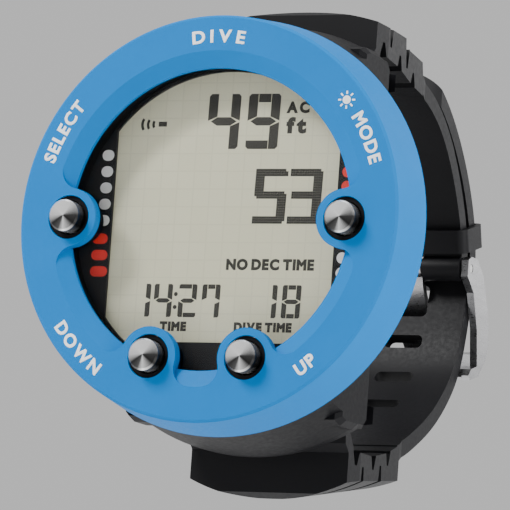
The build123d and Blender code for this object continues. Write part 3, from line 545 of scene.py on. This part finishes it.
def matrix_digit(digit, x, z, columns=14, rows=22, upright=4, bar=3, pitch=0.5):
    """Outlines of the small squares that make up one digit of a fine dot matrix."""
    middle = (rows - bar) // 2
    bars = {
        "a": (0, columns, 0, bar),
        "g": (1, columns - 1, middle, middle + bar),
        "d": (0, columns, rows - bar, rows),
        "f": (0, upright, 0, middle + bar - 1),
        "b": (columns - upright, columns, 0, middle + 1),
        "e": (0, upright, middle + 1, rows),
        "c": (columns - upright, columns, middle + 1, rows),
    }
    cells = set()
    for segment in DIGITS[digit]:
        first, last, top, bottom = bars[segment]
        cells |= {(column, row) for column in range(first, last) for row in range(top, bottom)}
    cells -= {(columns - 1, 0), (columns - 1, rows - 1)}
    side = DOT_FILL * pitch
    outlines = []
    for column, row in sorted(cells):
        left, top = x + column * pitch - ROW_LEAN * row * pitch, z - row * pitch
        outlines.append([(left, top), (left + side, top), (left + side, top - side), (left, top - side)])
    return outlines


def number(name, digits, x, z, width, height, stroke, step):
    outlines = []
    for index, digit in enumerate(digits):
        outlines += digit_segments(digit, x + index * step, z, width, height, stroke)
    front_piece(name, outlines, lcd_y, LCD_PRINT, SEGMENT_INK)


number("lcd_depth", "49", -4.9, 26.3, 6.9, 11.1, 2.0, 8.6)
minutes = matrix_digit("5", 6.3, 11.2) + matrix_digit("3", 13.8, 11.2)
front_piece("lcd_minutes", minutes, lcd_y, LCD_PRINT, SEGMENT_INK)
number("lcd_clock_hours", "14", -18.7, -12.0, 4.0, 6.6, 1.05, 4.75)
number("lcd_clock_minutes", "27", -8.55, -12.0, 3.9, 6.6, 1.05, 5.05)
number("lcd_dive_minutes", "18", 8.7, -12.0, 4.0, 6.6, 1.05, 5.1)
colon = [disc(x, z, 0.42, 16) for x, z in ((-9.25, -14.0), (-9.3, -16.6))]
front_piece("lcd_colon", colon, lcd_y, LCD_PRINT, SEGMENT_INK)


def lcd_word(name, text, x, z, height, **options):
    options = {"bold": 0.18, "spacing": 0.09, **options}
    word(name, text, lcd_y, height, SEGMENT_INK, along_line(x, z), raised=LCD_PRINT, **options)


lcd_word("lcd_text_ac", "AC", 11.9, 23.6, 2.1, spacing=0.15)
lcd_word("lcd_text_ft", "ft", 12.1, 20.0, 2.9, bold=0.26, stretch=1.15)
lcd_word("lcd_text_no_dec", "NO DEC TIME", 1.2, -7.9, 2.0)
lcd_word("lcd_text_time", "TIME", -12.3, -20.4, 1.65)
lcd_word("lcd_text_dive_time", "DIVE TIME", 3.8, -20.4, 1.65)


def arc_band(x, z, radius, width, half_turn, sides=8):
    """Outline of a short curved stroke that opens to the right."""
    angles = [math.pi + half_turn * (2 * k / sides - 1) for k in range(sides + 1)]
    outer = [on_circle(x, z, radius + width / 2, a) for a in angles]
    inner = [on_circle(x, z, radius - width / 2, a) for a in reversed(angles)]
    return outer + inner


# left end and radius of each wave
WAVES = ((-19.3, 1.95), (-18.05, 1.6), (-16.85, 1.15))
waves = [arc_band(left + radius, 20.2, radius, 0.55, 0.6) for left, radius in WAVES]
waves.append([(-15.7, 19.75), (-13.9, 19.75), (-13.9, 20.75), (-15.7, 20.75)])
front_piece("lcd_signal_mark", waves, lcd_y, LCD_PRINT, SEGMENT_INK)

# ------------------------------------------------------------------ floor, light and camera
FLOOR_HALF = 6
FLOOR_Z = -0.17
floor_mesh = bpy.data.meshes.new("floor")
corners = [(x * FLOOR_HALF, y * FLOOR_HALF, 0) for x, y in ((-1, -1), (1, -1), (1, 1), (-1, 1))]
floor_mesh.from_pydata(corners, [], [(0, 1, 2, 3)])
floor = bpy.data.objects.new("floor", floor_mesh)
floor.location.z = FLOOR_Z
floor_paint = surface("floor_paint", (0.86, 0.86, 0.86), (0.83, 0.83, 0.83), 0.6, grain=8, bump=0.02)
floor_mesh.materials.append(floor_paint)
bpy.context.scene.collection.objects.link(floor)

world = bpy.data.worlds.new("studio")
world.use_nodes = True
world.node_tree.nodes["Background"].inputs["Color"].default_value = (1.0, 1.0, 1.0, 1.0)
world.node_tree.nodes["Background"].inputs["Strength"].default_value = 0.6
bpy.context.scene.world = world


def softbox(name, place, target, size, power):
    lamp = bpy.data.lights.new(name, "AREA")
    lamp.shape = "RECTANGLE"
    lamp.size, lamp.size_y = size
    lamp.energy = power
    holder = bpy.data.objects.new(name, lamp)
    holder.location = place
    holder.rotation_euler = (Vector(target) - Vector(place)).to_track_quat("-Z", "Y").to_euler()
    bpy.context.scene.collection.objects.link(holder)


softbox("key_light", (-0.45, -0.5, 0.6), (0, 0, 0), (0.3, 0.3), 13.0)
softbox("side_light", (0.8, 0.0, 0.25), (0, 0.0, 0), (0.4, 0.6), 10.0)
softbox("top_light", (0.0, 0.2, 0.8), (0, 0.03, 0), (0.7, 0.5), 2.0)
softbox("back_light", (0.3, 0.9, 0.35), (0, 0.06, 0), (0.5, 0.5), 1.5)

# the camera looks at the dial from its right and from a little below, slightly tilted
face_centre = Vector((0.0, face_y * MM, 0.0))
azimuth, elevation, roll = math.radians(24.63), math.radians(-8.45), math.radians(4.11)
DISTANCE = 1014.4 * MM
LENS, SENSOR = 364.4471, 36.0
# the dial sits left of and above the middle of the picture
AIM_RIGHT, AIM_DOWN = 9.63906 * MM, 7.35406 * MM
flat = math.cos(elevation)
back = Vector((math.sin(azimuth) * flat, -math.cos(azimuth) * flat, math.sin(elevation)))
level = Vector((0, 0, 1)).cross(back).normalized()
upright = back.cross(level)
right = level * math.cos(roll) + upright * math.sin(roll)
up = upright * math.cos(roll) - level * math.sin(roll)
camera_place = face_centre + back * DISTANCE
aim = face_centre + right * AIM_RIGHT - up * AIM_DOWN
back = (camera_place - aim).normalized()
right = up.cross(back).normalized()
up = back.cross(right)
camera = bpy.data.cameras.new("camera")
camera.sensor_width = SENSOR
camera.lens = LENS
camera.clip_start, camera.clip_end = 0.05, 20.0
camera_object = bpy.data.objects.new("camera", camera)
camera_object.matrix_world = Matrix((right, up, back)).transposed().to_4x4()
camera_object.location = camera_place
bpy.context.scene.collection.objects.link(camera_object)
bpy.context.scene.camera = camera_object
